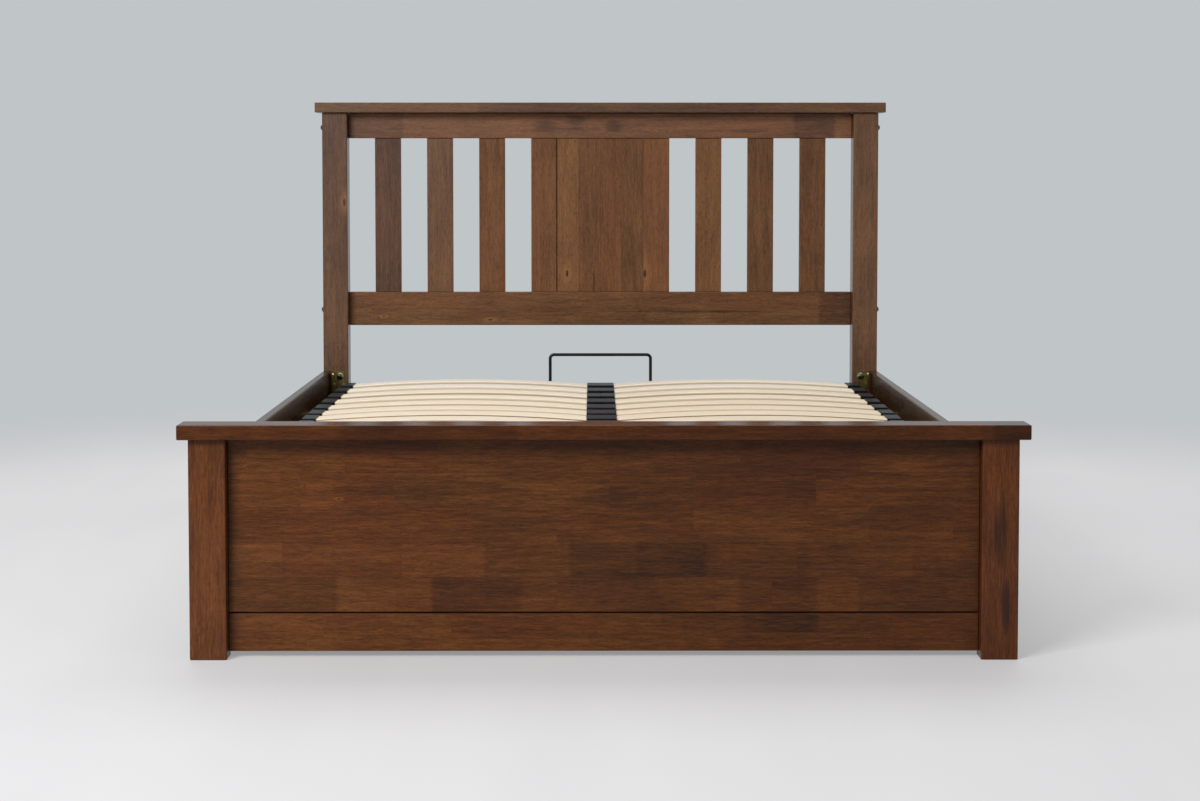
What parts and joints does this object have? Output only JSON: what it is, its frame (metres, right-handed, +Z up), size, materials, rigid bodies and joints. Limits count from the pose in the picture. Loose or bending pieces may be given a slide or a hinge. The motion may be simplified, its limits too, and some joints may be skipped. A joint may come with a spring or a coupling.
{
  "type": "ottoman bed",
  "caption": "Wooden storage bed with a slatted headboard and low footboard; the sprung-slat platform hinges up at the foot end on gas struts over a storage box.",
  "frame": {"origin": "on the floor, under the middle of the bed's outline", "axes": "+X across the bed, +Y towards the headboard, +Z up"},
  "size_m": [1.484, 2.054, 1.034],
  "materials": {
    "stained_hardwood": "dark walnut-brown stain under satin lacquer",
    "birch_slat": "pale laminated birch, satin",
    "base_board": "plain fibreboard, matt",
    "black_steel": "black powder coat, satin",
    "gloss_black_rod": "black paint, semi-gloss",
    "black_plastic": "charcoal moulded plastic, matt",
    "yellow_zinc": "yellow passivated zinc",
    "strut_body": "black enamel, satin",
    "strut_chrome": "polished hard chrome"
  },
  "bodies": {
    "bed_frame": {"headboard_post_left": "stained_hardwood", "headboard_post_right": "stained_hardwood", "headboard_cap": "stained_hardwood", "headboard_top_rail": "stained_hardwood", "headboard_lower_rail": "stained_hardwood", "headboard_slat_1": "stained_hardwood", "headboard_slat_2": "stained_hardwood", "headboard_slat_3": "stained_hardwood", "headboard_slat_4": "stained_hardwood", "headboard_slat_5": "stained_hardwood", "headboard_slat_6": "stained_hardwood", "headboard_slat_7": "stained_hardwood", "headboard_slat_8": "stained_hardwood", "headboard_centre_panel": "stained_hardwood", "head_end_panel": "stained_hardwood", "footboard_post_left": "stained_hardwood", "footboard_post_right": "stained_hardwood", "footboard_cap": "stained_hardwood", "footboard_panel": "stained_hardwood", "footboard_bottom_rail": "stained_hardwood", "foot_rest_batten": "stained_hardwood", "side_rail_left": "stained_hardwood", "side_rail_right": "stained_hardwood", "corner_bracket_foot_left": "yellow_zinc", "corner_bracket_foot_right": "yellow_zinc", "corner_bracket_head_left": "yellow_zinc", "corner_bracket_head_right": "yellow_zinc", "base_board_left": "base_board", "base_board_right": "base_board", "centre_support_beam": "stained_hardwood", "hinge_plate_left": "yellow_zinc", "hinge_plate_right": "yellow_zinc"},
    "lift_platform": {"slat_row_01": "birch_slat", "slat_row_02": "birch_slat", "slat_row_03": "birch_slat", "slat_row_04": "birch_slat", "slat_row_05": "birch_slat", "slat_row_06": "birch_slat", "slat_row_07": "birch_slat", "slat_row_08": "birch_slat", "slat_row_09": "birch_slat", "slat_row_10": "birch_slat", "slat_row_11": "birch_slat", "slat_row_12": "birch_slat", "slat_row_13": "birch_slat", "slat_row_14": "birch_slat", "slat_row_15": "birch_slat", "lift_frame_side_left": "black_steel", "lift_frame_side_right": "black_steel", "lift_frame_foot_bar": "black_steel", "lift_frame_head_bar": "black_steel", "lift_frame_centre_rail": "black_steel", "mattress_retainer": "gloss_black_rod", "lift_arm_left": "black_steel", "lift_arm_right": "black_steel"},
    "left_cylinder": {"strut_cylinder_left": "strut_body"},
    "right_cylinder": {"strut_cylinder_right": "strut_body"},
    "left_rod": {"strut_rod_left": "strut_chrome"},
    "right_rod": {"strut_rod_right": "strut_chrome"}
  },
  "joints": [
    {"name": "platform_lift", "type": "hinge", "parent": "bed_frame", "child": "lift_platform", "pos_m": [0, 0.72, 0.24], "axis": [-1, 0, 0], "range_deg": [0, 40]},
    {"name": "left_cylinder_pivot", "type": "hinge", "parent": "bed_frame", "child": "left_cylinder", "pos_m": [-0.6895, 0.53432, 0.058], "axis": [-1, 0, 0], "range_deg": [0, 20]},
    {"name": "left_rod_pivot", "type": "hinge", "parent": "lift_platform", "child": "left_rod", "pos_m": [-0.6895, 0.4625, 0.276], "axis": [-1, 0, 0], "range_deg": [-20, 0]},
    {"name": "right_cylinder_pivot", "type": "hinge", "parent": "bed_frame", "child": "right_cylinder", "pos_m": [0.6895, 0.53432, 0.058], "axis": [-1, 0, 0], "range_deg": [0, 20]},
    {"name": "right_rod_pivot", "type": "hinge", "parent": "lift_platform", "child": "right_rod", "pos_m": [0.6895, 0.4625, 0.276], "axis": [-1, 0, 0], "range_deg": [-20, 0]}
  ],
  "couplings": [
    {"joint": "left_cylinder_pivot", "follows": "platform_lift", "ratio": 0.5},
    {"joint": "left_rod_pivot", "follows": "platform_lift", "ratio": -0.5},
    {"joint": "right_cylinder_pivot", "follows": "platform_lift", "ratio": 0.5},
    {"joint": "right_rod_pivot", "follows": "platform_lift", "ratio": -0.5}
  ]
}
